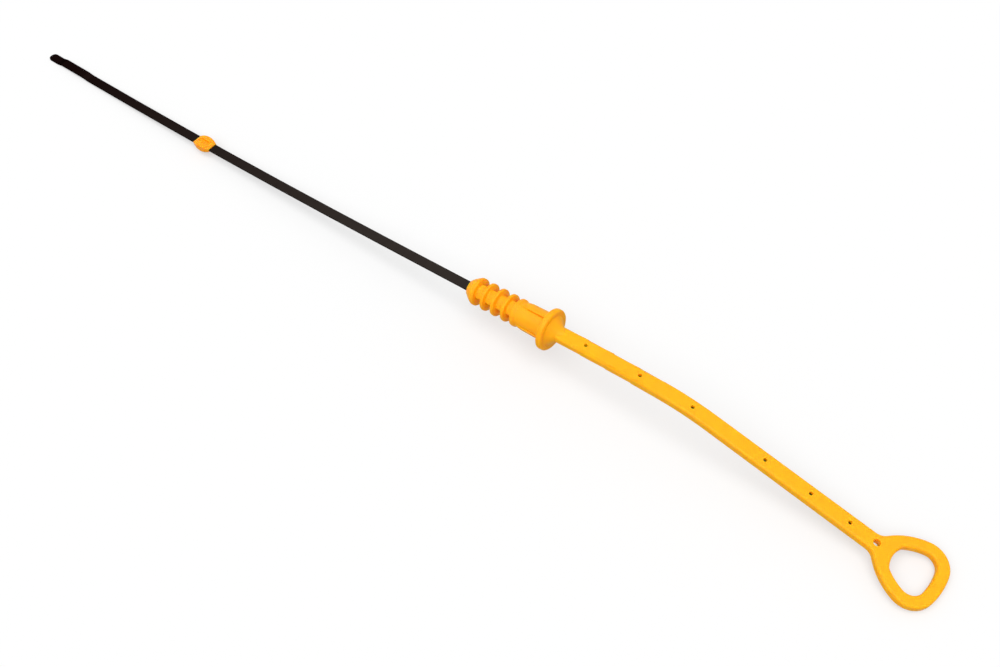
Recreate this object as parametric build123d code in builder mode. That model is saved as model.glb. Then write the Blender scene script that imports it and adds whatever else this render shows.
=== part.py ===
# Engine oil dipstick: a blackened steel strip with a moulded handle at one end and a small guide bead.
# Millimetres and degrees. The origin is the centre of the flange's seating face, on the plug's axis.
# The strip's own line runs through every piece: distances along it count from the seat,
# negative towards the tip and positive towards the finger ring.
import os
from math import asin, atan2, cos, degrees, hypot, radians, sin

from build123d import *

# Blade
blade_width = 5.5
blade_thickness = 0.9
blade_reach = 382.2  # seat to tip
free_straight = 60.0  # straight strip beyond the plug's nose
bow_radius = 3900.0  # from there the strip curls up a little towards its tip
tip_land = 0.6  # straight end between the tip's two corner rounds
low_mark = 10.8  # tip to the lower mark
mark_spacing = 23.2  # lower mark to upper mark
mark_step = 0.6  # how far the strip is pressed up between its marks
tip_set = 0.4  # how far the end below the lower mark is pressed down
mark_run = 4.0  # length of each pressed step
insert_overrun = 6.0  # strip beyond the last pin hole, inside the arm

# Guide bead
bead_distance = 246.3  # seat to the bead's middle
bead_length = 12.4
bead_width = 8.8
bead_height = 4.6
bead_end_wall = 0.4  # plastic round the strip at the bead's ends
bead_edge_radius = 0.5
bead_groove_length = 8.4  # along its floor
bead_groove_width = 2.0
bead_groove_depth = 1.0
bead_groove_angle = 15.0  # how far its sides lean back

# Plug
fin_radius = 7.4
fin_count = 4
fin_pitch = 6.5
fin_land = 1.6  # fin's thickness at its crest
fin_foot = 2.7  # fin's thickness at its root
fin_crest_round = 0.6
fin_root_radius = 5.2
fin_root_round = 0.6
core_flat = 3.7  # axis to each flat side of the core between the fins
core_roll = 60.0  # from the top of the plug to the middle of a flat side
front_gap = 3.45  # clear core between the body's front and the nearest fin
nose_length = 5.3  # beyond the middle of the last fin
nose_radius = 4.4
nose_bulge = 0.15
body_radius = 6.7
body_length = 19.1
collar_radius = 7.35  # the raised ring at the body's front
collar_length = 1.8
collar_slope = 1.2  # length of its sloped back
collar_edge_radius = 0.6
land_length = 15.6  # the two raised lands on the body, up to the flange
land_ramp = 3.0
land_front_radius = 7.2
land_back_radius = 7.4
land_angle = 86.0
land_roll = 40.0  # from the top of the plug to the middle of a land
side_groove_length = 11.5  # the narrow groove along both sides of each land
side_groove_angle = 5.0
side_groove_depth = 0.7

# Flange and neck
flange_radius = 11.0
flange_thickness = 3.3
seat_rim_radius = 0.8
back_rim_radius = 1.2
neck_start_radius = 8.0  # the trumpet between the flange and the arm
neck_end_radius = 2.2
neck_length = 9.0
neck_knee = 4.6  # flange to where the trumpet's two tangents cross

# Arm
arm_width = 8.4
arm_thickness = 4.7
arm_edge_radius = 1.2
first_run = 66.8  # seat to the start of the bend
first_run_turn = 3.3  # this run droops a little on its way
bend_angle = 12.3
bend_radius = 130.0
second_run = 110.0  # end of the bend to the ring's middle
pin_hole_radius = 0.95
near_pin_holes = (22.9, 54.4, 83.7)  # from the seat
far_pin_holes = (80.5, 55.4, 34.2)  # back from the ring's middle
neck_hole_radius = 1.7
neck_hole_round = 0.4
neck_hole_setback = 19.9  # back from the ring's middle

# Finger ring: three shallow arcs that meet in rounded corners
ring_end_reach = 14.6  # ring's middle to its far end
ring_end_curve = 40.6
ring_side_reach = 16.4  # ring's middle to each side
ring_side_curve = 33.6
ring_side_angle = 116.4  # from the far end round to the middle of a side
ring_corner_radius = 12.0
ring_neck_radius = 6.0
ring_end_band = 6.1
ring_side_band = 5.7
opening_corner_radius = 6.2
opening_neck_reach = 11.1  # ring's middle to the opening's edge at the neck
opening_neck_curve = 13.8
opening_neck_corner_radius = 4.0

same = 0.001  # sizes and slopes closer than this count as equal

# The strip's line, from the flange's seat
bend_length = radians(bend_angle) * bend_radius
bend_end = first_run + bend_length
ring_centre = bend_end + second_run
ring_end = ring_centre + ring_end_reach
first_fin_distance = body_length + front_gap + fin_foot / 2
last_fin_distance = first_fin_distance + (fin_count - 1) * fin_pitch
plug_reach = last_fin_distance + nose_length
bow_start = plug_reach + free_straight
pin_hole_distances = near_pin_holes + tuple(ring_centre - setback for setback in far_pin_holes)
neck_hole_distance = ring_centre - neck_hole_setback
insert_end = pin_hole_distances[-1] + insert_overrun


def station(distance):
    """Place and slope of the strip's line in the side view."""
    if distance < -bow_start:
        turn = (-bow_start - distance) / bow_radius
        rise = bow_radius * (1 - cos(turn))
        return -bow_start - bow_radius * sin(turn), rise, -degrees(turn)
    if distance <= 0:
        return distance, 0.0, 0.0
    along, height, slope, left = 0.0, 0.0, 0.0, distance
    for length, full_turn in ((first_run, first_run_turn), (bend_length, bend_angle)):
        run = min(left, length)
        turn = full_turn * run / length
        chord = 2 * sin(radians(turn / 2)) * length / radians(full_turn)
        along += chord * cos(radians(slope + turn / 2))
        height -= chord * sin(radians(slope + turn / 2))
        slope += turn
        left -= run
    return along + left * cos(radians(slope)), height - left * sin(radians(slope)), -slope


def beside(distance, height):
    """A point above the strip's line in the side view."""
    along, level, slope = station(distance)
    return along - height * sin(radians(slope)), level + height * cos(radians(slope))


def lying_lean():
    """Slope of the surface under the part, which lies on its tip and on the end of its ring."""
    tip_along, tip_height = beside(-blade_reach, -tip_set - blade_thickness / 2)
    edge_height = arm_edge_radius - arm_thickness / 2
    edge_along, edge_level = beside(ring_end - arm_edge_radius, edge_height)
    span = edge_along - tip_along
    drop = edge_level - tip_height
    return degrees(atan2(drop, span) - asin(arm_edge_radius / hypot(span, drop)))


lean = lying_lean()
side_view = Plane.XZ.rotated((0, lean, 0))
plug_axis = Axis((0, 0, 0), side_view.x_dir)


def flat_plane(distance, height=0.0):
    """The strip's own flat plane at a distance along its line."""
    slope = station(distance)[2]
    place = Plane.XY.rotated((0, lean - slope, 0))
    place.origin = side_view.from_local_coords(Vector(*beside(distance, height), 0))
    return place


def ribbon_outline(marks, thickness):
    """Side outline of a ribbon along the strip's line, from (distance, lift) marks."""
    corners = []
    for face in (thickness / 2, -thickness / 2):
        corners.append([beside(distance, lift + face) for distance, lift in marks])
    for face, points in zip((thickness / 2, -thickness / 2), corners):
        for (start, lift), (end, end_lift), first, last in zip(marks, marks[1:], points, points[1:]):
            turns = abs(station(start)[2] - station(end)[2]) > same
            if turns and lift == end_lift:
                ThreePointArc(first, beside((start + end) / 2, lift + face), last)
            else:
                Line(first, last)
    Line(corners[0][0], corners[1][0])
    Line(corners[0][-1], corners[1][-1])


# Steel strip: bowed, pressed up between its marks, rounded at the tip
strip_tip = -blade_reach
low_step = strip_tip + low_mark
high_step = low_step + mark_spacing
strip_marks = (
    (strip_tip, -tip_set),
    (low_step - mark_run / 2, -tip_set),
    (low_step + mark_run / 2, mark_step),
    (high_step - mark_run / 2, mark_step),
    (high_step + mark_run / 2, 0.0),
    (-bow_start, 0.0),
    (0.0, 0.0),
    (first_run, 0.0),
    (bend_end, 0.0),
    (insert_end, 0.0),
)

with BuildPart() as blade:
    with BuildSketch(side_view):
        with BuildLine():
            ribbon_outline(strip_marks, blade_thickness)
        make_face()
    extrude(amount=blade_width / 2, both=True)
    tip_face = blade.faces().sort_by(Axis.X)[0]
    fillet(tip_face.edges().filter_by(Axis.Y, reverse=True), (blade_width - tip_land) / 2)

# Guide bead: swells from the strip to its middle, with a groove along both flat sides
bead_plane = flat_plane(-bead_distance)
bead_end_width = blade_width + 2 * bead_end_wall
bead_end_height = blade_thickness + 2 * bead_end_wall

with BuildPart() as guide_bead:
    with BuildSketch(bead_plane):
        with BuildLine():
            ThreePointArc(
                (-bead_length / 2, bead_end_width / 2),
                (0, bead_width / 2),
                (bead_length / 2, bead_end_width / 2),
            )
            ThreePointArc(
                (-bead_length / 2, -bead_end_width / 2),
                (0, -bead_width / 2),
                (bead_length / 2, -bead_end_width / 2),
            )
            Line((-bead_length / 2, bead_end_width / 2), (-bead_length / 2, -bead_end_width / 2))
            Line((bead_length / 2, bead_end_width / 2), (bead_length / 2, -bead_end_width / 2))
        make_face()
    extrude(amount=bead_height, both=True)
    bead_side = Plane(bead_plane.origin, bead_plane.x_dir, -bead_plane.y_dir)
    with BuildSketch(bead_side):
        with BuildLine():
            ThreePointArc(
                (-bead_length / 2, bead_end_height / 2),
                (0, bead_height / 2),
                (bead_length / 2, bead_end_height / 2),
            )
            ThreePointArc(
                (-bead_length / 2, -bead_end_height / 2),
                (0, -bead_height / 2),
                (bead_length / 2, -bead_end_height / 2),
            )
            Line((-bead_length / 2, bead_end_height / 2), (-bead_length / 2, -bead_end_height / 2))
            Line((bead_length / 2, bead_end_height / 2), (bead_length / 2, -bead_end_height / 2))
        make_face()
    extrude(amount=bead_width, both=True, mode=Mode.INTERSECT)
    along_bead = Axis(bead_plane.origin, bead_plane.x_dir)
    fillet(guide_bead.edges().sort_by(along_bead)[4:-4], bead_edge_radius)
    for side in (1, -1):
        groove_floor = bead_plane.offset(side * (bead_height / 2 - bead_groove_depth))
        with BuildSketch(groove_floor):
            SlotOverall(bead_groove_length, bead_groove_width)
        extrude(amount=side * bead_groove_depth, taper=-bead_groove_angle, mode=Mode.SUBTRACT)
    add(blade.part, mode=Mode.SUBTRACT)

# Handle: plug, flange, bent arm and finger ring in one moulding round the strip
fin_places = [-first_fin_distance - row * fin_pitch for row in reversed(range(fin_count))]
seat_rim_start = flange_radius - seat_rim_radius
back_rim_start = flange_radius - back_rim_radius
neck_end = flange_thickness + neck_length
collar_end = collar_length - body_length
gap_starts = [place + fin_foot / 2 for place in fin_places]
gap_ends = [place - fin_foot / 2 for place in fin_places[1:]] + [-body_length]
side_groove_floor = body_radius - side_groove_depth


def rolled_plane(roll):
    """A half section plane of the plug, turned from its top towards one side."""
    return Plane.XZ.rotated((-roll, 0, 0)).rotated((0, lean, 0))


def plug_contour():
    """Half section of the plug, the flange and the trumpet neck, with its fins still sharp."""
    nose = (-plug_reach, nose_radius)
    outline = [(fin_places[0] - fin_land / 2, fin_radius)]
    Line((-plug_reach, 0), nose)
    SagittaArc(nose, outline[0], nose_bulge)
    for place, gap_start, gap_end in zip(fin_places, gap_starts, gap_ends):
        outline.append((place + fin_land / 2, fin_radius))
        outline.append((gap_start, fin_root_radius))
        outline.append((gap_end, fin_root_radius))
        if gap_end != gap_ends[-1]:
            outline.append((place + fin_pitch - fin_land / 2, fin_radius))
    outline.append((-body_length, collar_radius))
    outline.append((collar_end, collar_radius))
    outline.append((collar_end + collar_slope, body_radius))
    outline.append((0, body_radius))
    outline.append((0, seat_rim_start))
    Polyline(*outline)
    RadiusArc((0, seat_rim_start), (seat_rim_radius, flange_radius), seat_rim_radius)
    Line((seat_rim_radius, flange_radius), (flange_thickness - back_rim_radius, flange_radius))
    RadiusArc(
        (flange_thickness - back_rim_radius, flange_radius),
        (flange_thickness, back_rim_start),
        back_rim_radius,
    )
    Line((flange_thickness, back_rim_start), (flange_thickness, neck_start_radius))
    Bezier(
        (flange_thickness, neck_start_radius),
        (flange_thickness + neck_knee, neck_end_radius),
        (neck_end, neck_end_radius),
    )
    Line((neck_end, neck_end_radius), (neck_end, 0))
    Line((neck_end, 0), (-plug_reach, 0))


def ring_outline(end_band, side_band, corner_radius):
    """The ring's three-sided outline, or the line that leaves a band inside it."""
    with BuildSketch() as outline:
        with Locations((ring_end_reach - ring_end_curve, 0)):
            Circle(ring_end_curve - end_band)
        for side in (1, -1):
            turn = radians(side * ring_side_angle)
            reach = ring_side_reach - ring_side_curve
            with Locations((reach * cos(turn), reach * sin(turn))):
                Circle(ring_side_curve - side_band, mode=Mode.INTERSECT)
        end_corners = outline.vertices().sort_by(Axis.X)[1:]
        fillet(end_corners, corner_radius)
    return outline.sketch


with BuildSketch() as opening:
    add(ring_outline(ring_end_band, ring_side_band, opening_corner_radius))
    with Locations((opening_neck_curve - opening_neck_reach, 0)):
        Circle(opening_neck_curve, mode=Mode.INTERSECT)
    fillet(opening.vertices().sort_by(Axis.X)[:2], opening_neck_corner_radius)
ring_plane = flat_plane(ring_centre)
arm_start = flange_thickness / 2

# First run and bend of the arm, a bar with rounded edges
with BuildPart() as bent_bar:
    with BuildSketch(side_view):
        with BuildLine():
            ribbon_outline(((arm_start, 0.0), (first_run, 0.0), (bend_end, 0.0)), arm_thickness)
        make_face()
    extrude(amount=arm_width / 2, both=True)
    long_edges = bent_bar.edges().filter_by(Axis.Y, reverse=True)
    long_edges = long_edges.filter_by(lambda edge: edge.length > arm_thickness + same)
    fillet(long_edges, arm_edge_radius)

# Second run and finger ring, cut from one flat outline
with BuildPart() as ring_bar:
    with BuildSketch(ring_plane) as plan:
        with Locations((bend_end - ring_centre, 0)):
            Rectangle(ring_centre - bend_end, arm_width, align=(Align.MIN, Align.CENTER))
        add(ring_outline(0, 0, ring_corner_radius))
        neck_corners = plan.vertices().filter_by(lambda corner: abs(abs(corner.Y) - arm_width / 2) < same)
        fillet(neck_corners.group_by(Axis.X)[-1], ring_neck_radius)
        add(opening.sketch, mode=Mode.SUBTRACT)
    extrude(amount=arm_thickness / 2, both=True)
    bar_ends = Axis(ring_plane.origin, ring_plane.x_dir)
    rims = ring_bar.faces().filter_by(ring_plane).edges()
    butt_edges = rims.group_by(bar_ends)[0]
    fillet(rims - butt_edges, arm_edge_radius)
    with Locations(flat_plane(neck_hole_distance, arm_thickness / 2)):
        Hole(neck_hole_radius, arm_thickness)
    hole_rims = ring_bar.edges().filter_by(GeomType.CIRCLE)
    hole_rims = hole_rims.filter_by(lambda edge: abs(edge.radius - neck_hole_radius) < same)
    fillet(hole_rims, neck_hole_round)

with BuildPart() as handle:
    with BuildSketch(side_view) as section:
        with BuildLine():
            plug_contour()
        make_face()
        for radius, rounding in (
            (fin_radius, fin_crest_round),
            (fin_root_radius, fin_root_round),
            (collar_radius, collar_edge_radius),
        ):
            corners = section.vertices().filter_by(lambda corner: abs(corner.Y - radius) < same)
            fillet(corners, rounding)
    revolve(axis=plug_axis)
    # The core between the fins has two flat sides
    for roll in (core_roll, core_roll + 180):
        core_side = Plane.XY.rotated((-roll, 0, 0)).rotated((0, lean, 0))
        with BuildSketch(core_side.offset(core_flat)):
            for gap_start, gap_end in zip(gap_starts, gap_ends):
                with Locations(((gap_start + gap_end) / 2, 0)):
                    Rectangle(gap_end - gap_start, 2 * fin_radius)
        extrude(amount=fin_radius, mode=Mode.SUBTRACT)
    # Two raised lands on the body, from behind its collar to the flange, each between two grooves
    for roll in (land_roll, land_roll + 180):
        with BuildSketch(rolled_plane(roll + land_angle / 2 + side_groove_angle)):
            with Locations((-side_groove_length, side_groove_floor)):
                Rectangle(side_groove_length, fin_radius - side_groove_floor, align=Align.MIN)
        revolve(axis=plug_axis, revolution_arc=land_angle + 2 * side_groove_angle, mode=Mode.SUBTRACT)
        with BuildSketch(rolled_plane(roll + land_angle / 2)):
            with BuildLine():
                Polyline(
                    (-land_length, body_radius),
                    (land_ramp - land_length, land_front_radius),
                    (0, land_back_radius),
                    (0, fin_root_radius),
                    (-land_length, fin_root_radius),
                    close=True,
                )
            make_face()
        revolve(axis=plug_axis, revolution_arc=land_angle)
    add(bent_bar.part)
    add(ring_bar.part)
    # Core pin holes down to the strip
    for distance in pin_hole_distances:
        with Locations(flat_plane(distance, arm_thickness / 2)):
            Hole(pin_hole_radius, arm_thickness / 2)
    add(blade.part, mode=Mode.SUBTRACT)

blade.part.label = "blade"
guide_bead.part.label = "guide_bead"
handle.part.label = "handle"

os.makedirs("parts", exist_ok=True)
export_step(blade.part, "parts/blade.step")
export_step(guide_bead.part, "parts/guide_bead.step")
export_step(handle.part, "parts/handle.step")
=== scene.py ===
import bpy
from math import radians
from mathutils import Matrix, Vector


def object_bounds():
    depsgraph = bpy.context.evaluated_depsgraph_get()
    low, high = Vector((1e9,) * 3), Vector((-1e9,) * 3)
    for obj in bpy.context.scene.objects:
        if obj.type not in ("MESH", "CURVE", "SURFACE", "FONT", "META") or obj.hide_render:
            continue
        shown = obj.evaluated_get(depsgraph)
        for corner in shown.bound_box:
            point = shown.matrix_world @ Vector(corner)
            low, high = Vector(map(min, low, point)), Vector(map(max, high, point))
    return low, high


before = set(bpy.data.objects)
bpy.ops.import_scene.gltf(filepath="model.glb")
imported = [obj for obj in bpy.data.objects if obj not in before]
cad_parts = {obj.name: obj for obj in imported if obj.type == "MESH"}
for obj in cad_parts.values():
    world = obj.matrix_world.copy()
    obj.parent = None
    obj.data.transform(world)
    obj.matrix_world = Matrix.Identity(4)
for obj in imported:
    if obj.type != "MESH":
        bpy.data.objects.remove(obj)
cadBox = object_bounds()
floorHeight = cadBox[0].z  # the dipstick lies on its tip and on the end of its ring
print("frame loaded:", ", ".join(sorted(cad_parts)))

white = "FFFFFF"
noiseLow, noiseHigh = 0.3, 0.7  # nearly all of a noise texture's values lie between these
mixShare, mixFirst, mixSecond, mixResult = 0, 6, 7, 2  # a Mix node's colour sockets go by number


def linearColour(code):
    # sRGB hex to the linear colour that a socket takes
    channels = [int(code[i:i + 2], 16) / 255 for i in (0, 2, 4)]
    return [c / 12.92 if c <= 0.04045 else ((c + 0.055) / 1.055) ** 2.4 for c in channels] + [1.0]


def metres(millimetres):
    return millimetres / 1000


def perMetre(millimetres):
    # texture scale for a pattern that repeats at this size
    return 1000 / millimetres


def newTree(name):
    material = bpy.data.materials.new(name)
    material.use_nodes = True
    material.node_tree.nodes.clear()
    return material, material.node_tree


def addNode(tree, kind, settings=None, links=None):
    # settings go to the sockets of that name or number, or else to the node's own options
    node = tree.nodes.new(kind)
    for name, value in (settings or {}).items():
        if isinstance(name, int) or name in node.inputs:
            node.inputs[name].default_value = value
        else:
            setattr(node, name, value)
    for name, output in (links or {}).items():
        tree.links.new(output, node.inputs[name])
    return node


def seenByEye(tree):
    # 1 where the camera, a reflection or a clear thing looks, 0 for the light that falls on the object
    ray = addNode(tree, "ShaderNodeLightPath")
    seen = ray.outputs["Is Camera Ray"]
    for look in ("Is Glossy Ray", "Is Transmission Ray"):
        either = addNode(tree, "ShaderNodeMath", {"operation": "MAXIMUM"}, {0: seen, 1: ray.outputs[look]})
        seen = either.outputs[0]
    return seen


# camera, at the photograph's viewing angle
cameraView = {
    "location": (0.24334, -0.33130, 0.52250),  # metres from the flange's seat
    "turn": (37.968, 1.106, 38.184),  # degrees
    "lens": 48.72,  # mm, on a sensor 36 mm wide
}


def setCamera(view):
    bpy.ops.object.select_all(action="DESELECT")
    turn = [radians(angle) for angle in view["turn"]]
    bpy.ops.object.camera_add(location=view["location"], rotation=turn)
    camera = bpy.context.object
    camera.data.lens = view["lens"]
    bpy.context.scene.camera = camera


setCamera(cameraView)
print("camera set")


# light: a white tent all round, and a broad soft light high on the camera's side
studioLight = {
    "tent": 0.6,  # level of the white tent on the object
    "tentSeen": 1.0,  # its level to the eye and the reflections, which is white
    "key": 2.4,  # strength of the soft light
    "keyPlace": (0.0, 0.0, 1.0),  # metres, only where it stands: it shines the same everywhere
    "keyTurn": (22.0, 5.0, 0.0),  # degrees
    "keySpread": 70.0,  # how wide the soft light is, degrees
}


def setLight(light):
    world = bpy.data.worlds.new("whiteTent")
    bpy.context.scene.world = world
    world.use_nodes = True
    tree = world.node_tree
    tree.nodes.clear()
    level = addNode(tree, "ShaderNodeMapRange", {"To Min": light["tent"], "To Max": light["tentSeen"]},
                    {"Value": seenByEye(tree)})
    tent = addNode(tree, "ShaderNodeBackground", {"Color": linearColour(white)},
                   {"Strength": level.outputs[0]})
    addNode(tree, "ShaderNodeOutputWorld", links={"Surface": tent.outputs[0]})

    turn = [radians(angle) for angle in light["keyTurn"]]
    bpy.ops.object.light_add(type="SUN", location=light["keyPlace"], rotation=turn)
    key = bpy.context.object
    key.name = "softKey"
    key.data.energy = light["key"]
    key.data.angle = radians(light["keySpread"])
    bpy.context.scene.view_settings.view_transform = "Standard"


setLight(studioLight)
print("light set")


# floor: a sheet of plain pale paper, dull all over
paleFloor = {
    "size": 30.0,  # metres
    "colour": "A8A8A8",
    "glow": 0.49,  # what the eye and the reflections see on top, so that it reads white
    "roughness": 1.0,
    "sheen": 0.0,
}


def makeFloor(floor):
    bpy.ops.mesh.primitive_plane_add(size=floor["size"], location=(0.0, 0.0, floorHeight))
    sheet = bpy.context.object
    sheet.name = "paleFloor"
    material, tree = newTree("pale paper")
    glow = addNode(tree, "ShaderNodeMath", {"operation": "MULTIPLY", 1: floor["glow"]}, {0: seenByEye(tree)})
    paper = addNode(tree, "ShaderNodeBsdfPrincipled", {
        "Base Color": linearColour(floor["colour"]),
        "Roughness": floor["roughness"],
        "Specular IOR Level": floor["sheen"],
        "Emission Color": linearColour(white),
    }, {"Emission Strength": glow.outputs[0]})
    addNode(tree, "ShaderNodeOutputMaterial", links={"Surface": paper.outputs[0]})
    sheet.data.materials.append(material)


makeFloor(paleFloor)
print("floor laid")


# moulded nylon, dyed yellow: a satin skin from the mould, smooth and even,
# with a little light going through narrow edges, and painted shade deepening the plug side
yellowNylon = {
    "name": "moulded nylon",
    "deep": "FFA900",
    "bright": "FFB100",
    "plugSide": "FFA600",  # painted shade: the plug side is made deeper to stand in for the deep orange shade between its fins
    "plugToArm": (0.0, 0.010),  # metres along the part, from the plug side with its painted shade to the arm side
    "plugSideDrift": 0.2,  # how much of the drift shows on the plug side, under the painted shade
    "armSideDrift": 1.0,  # and on the arm side
    "mottle": 9.0,  # mm, slow drift of the dye in the flow
    "mottleDetail": 3.0,
    "mottleRoughness": 0.5,
    "grain": 0.7,  # mm, the mould's spark grain is nearer 0.05, coarser here so that it shows
    "grainDetail": 2.0,
    "grainRoughness": 0.6,
    "grainDepth": 0.004,  # mm
    "roughness": (0.48, 0.58),
    "ior": 1.53,
    "sheen": 0.22,  # a dull skin, less of the white room in it than a polished one
    "glowThrough": 0.8,  # share of light that goes through the skin
    "glowDepth": 2.4,  # mm
    "glowReach": (1.0, 0.25, 0.03),  # how much of that depth red, green and blue go
}
# the bead is a moulding of its own, of the same nylon with a little more dye
beadNylon = {
    **yellowNylon,
    "name": "moulded nylon, deeper dye",
    "deep": "FF9800",
    "bright": "FFA000",
    # the whole bead lies on the plug side, so this is most of the bead's own tone
    "plugSide": "FF9C00",
}


def makeYellowNylon(finish):
    material, tree = newTree(finish["name"])
    place = addNode(tree, "ShaderNodeTexCoord")
    drift = addNode(tree, "ShaderNodeTexNoise", {
        "Scale": perMetre(finish["mottle"]),
        "Detail": finish["mottleDetail"],
        "Roughness": finish["mottleRoughness"],
    }, {"Vector": place.outputs["Object"]})
    dye = addNode(tree, "ShaderNodeMix", {
        "data_type": "RGBA",
        mixFirst: linearColour(finish["deep"]),
        mixSecond: linearColour(finish["bright"]),
    }, {mixShare: drift.outputs["Fac"]})
    axes = addNode(tree, "ShaderNodeSeparateXYZ", links={"Vector": place.outputs["Object"]})
    # painted shade: the plug side takes the deeper colour, fading into the arm's own dye
    plugSide, armSide = finish["plugToArm"]
    armShare = addNode(tree, "ShaderNodeMapRange", {
        "From Min": plugSide,
        "From Max": armSide,
        "To Min": finish["plugSideDrift"],
        "To Max": finish["armSideDrift"],
    }, {"Value": axes.outputs["X"]})
    tone = addNode(tree, "ShaderNodeMix", {"data_type": "RGBA", mixFirst: linearColour(finish["plugSide"])},
                   {mixShare: armShare.outputs[0], mixSecond: dye.outputs[mixResult]})
    low, high = finish["roughness"]
    satin = addNode(tree, "ShaderNodeMapRange",
                    {"From Min": noiseLow, "From Max": noiseHigh, "To Min": low, "To Max": high},
                    {"Value": drift.outputs["Fac"]})
    grain = addNode(tree, "ShaderNodeTexNoise", {
        "Scale": perMetre(finish["grain"]),
        "Detail": finish["grainDetail"],
        "Roughness": finish["grainRoughness"],
    }, {"Vector": place.outputs["Object"]})
    skin = addNode(tree, "ShaderNodeBump",
                   {"Strength": 1.0, "Distance": metres(finish["grainDepth"])},
                   {"Height": grain.outputs["Fac"]})
    nylon = addNode(tree, "ShaderNodeBsdfPrincipled", {
        "IOR": finish["ior"],
        "Specular IOR Level": finish["sheen"],
        "Subsurface Weight": finish["glowThrough"],
        "Subsurface Radius": finish["glowReach"],
        "Subsurface Scale": metres(finish["glowDepth"]),
    }, {
        "Base Color": tone.outputs[mixResult],
        "Roughness": satin.outputs[0],
        "Normal": skin.outputs[0],
    })
    addNode(tree, "ShaderNodeOutputMaterial", links={"Surface": nylon.outputs[0]})
    return material


# spring steel strip, hot blackened: a fine film of grey-black oxide with the rolling lines still in it,
# and darker towards the tip
blackenedSteel = {
    "name": "blackened spring steel",
    "grey": "3A3430",
    "black": "2E2927",
    "tipTone": "1C1110",
    "tipFade": (-0.36, -0.12),  # metres along the strip, darkest at the tip to plain
    "mottle": 5.0,  # mm, patches in the oxide
    "mottleDetail": 4.0,
    "mottleRoughness": 0.6,
    "lineWidth": 0.5,  # mm, real rolling lines are nearer 0.05, wider here so that they show
    "lineLength": 45.0,  # mm
    "lineDetail": 3.0,
    "lineRoughness": 0.55,
    "lineDepth": 0.003,  # mm
    "roughness": (0.44, 0.58),
    "metallic": 1.0,
    "edgeTint": "5A5654",  # what a grazing look sees of the room in the oxide
}


def makeBlackenedSteel(finish):
    material, tree = newTree(finish["name"])
    place = addNode(tree, "ShaderNodeTexCoord")
    bloom = addNode(tree, "ShaderNodeTexNoise", {
        "Scale": perMetre(finish["mottle"]),
        "Detail": finish["mottleDetail"],
        "Roughness": finish["mottleRoughness"],
    }, {"Vector": place.outputs["Object"]})
    along, across = perMetre(finish["lineLength"]), perMetre(finish["lineWidth"])
    stretched = addNode(tree, "ShaderNodeMapping", {"Scale": (along, across, across)},
                        {"Vector": place.outputs["Object"]})
    lines = addNode(tree, "ShaderNodeTexNoise", {
        "Scale": 1.0,  # the mapping has sized it already
        "Detail": finish["lineDetail"],
        "Roughness": finish["lineRoughness"],
    }, {"Vector": stretched.outputs[0]})
    oxide = addNode(tree, "ShaderNodeMix", {
        "data_type": "RGBA",
        mixFirst: linearColour(finish["black"]),
        mixSecond: linearColour(finish["grey"]),
    }, {mixShare: bloom.outputs["Fac"]})
    axes = addNode(tree, "ShaderNodeSeparateXYZ", links={"Vector": place.outputs["Object"]})
    tipEnd, plainEnd = finish["tipFade"]
    # the strip darkens towards its tip
    awayFromTip = addNode(tree, "ShaderNodeMapRange", {"From Min": tipEnd, "From Max": plainEnd},
                      {"Value": axes.outputs["X"]})
    tone = addNode(tree, "ShaderNodeMix", {"data_type": "RGBA", mixFirst: linearColour(finish["tipTone"])},
                   {mixShare: awayFromTip.outputs[0], mixSecond: oxide.outputs[mixResult]})
    low, high = finish["roughness"]
    satin = addNode(tree, "ShaderNodeMapRange",
                    {"From Min": noiseLow, "From Max": noiseHigh, "To Min": low, "To Max": high},
                    {"Value": lines.outputs["Fac"]})
    ridges = addNode(tree, "ShaderNodeBump",
                     {"Strength": 1.0, "Distance": metres(finish["lineDepth"])},
                     {"Height": lines.outputs["Fac"]})
    steel = addNode(tree, "ShaderNodeBsdfPrincipled", {
        "Metallic": finish["metallic"],
        "Specular Tint": linearColour(finish["edgeTint"]),
    }, {
        "Base Color": tone.outputs[mixResult],
        "Roughness": satin.outputs[0],
        "Normal": ridges.outputs[0],
    })
    addNode(tree, "ShaderNodeOutputMaterial", links={"Surface": steel.outputs[0]})
    return material


def paint(nodeName, material):
    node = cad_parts[nodeName]
    for materialSlot in node.material_slots:
        materialSlot.material = material


paint("handle", makeYellowNylon(yellowNylon))
paint("guide_bead", makeYellowNylon(beadNylon))
paint("blade", makeBlackenedSteel(blackenedSteel))
print("materials on")
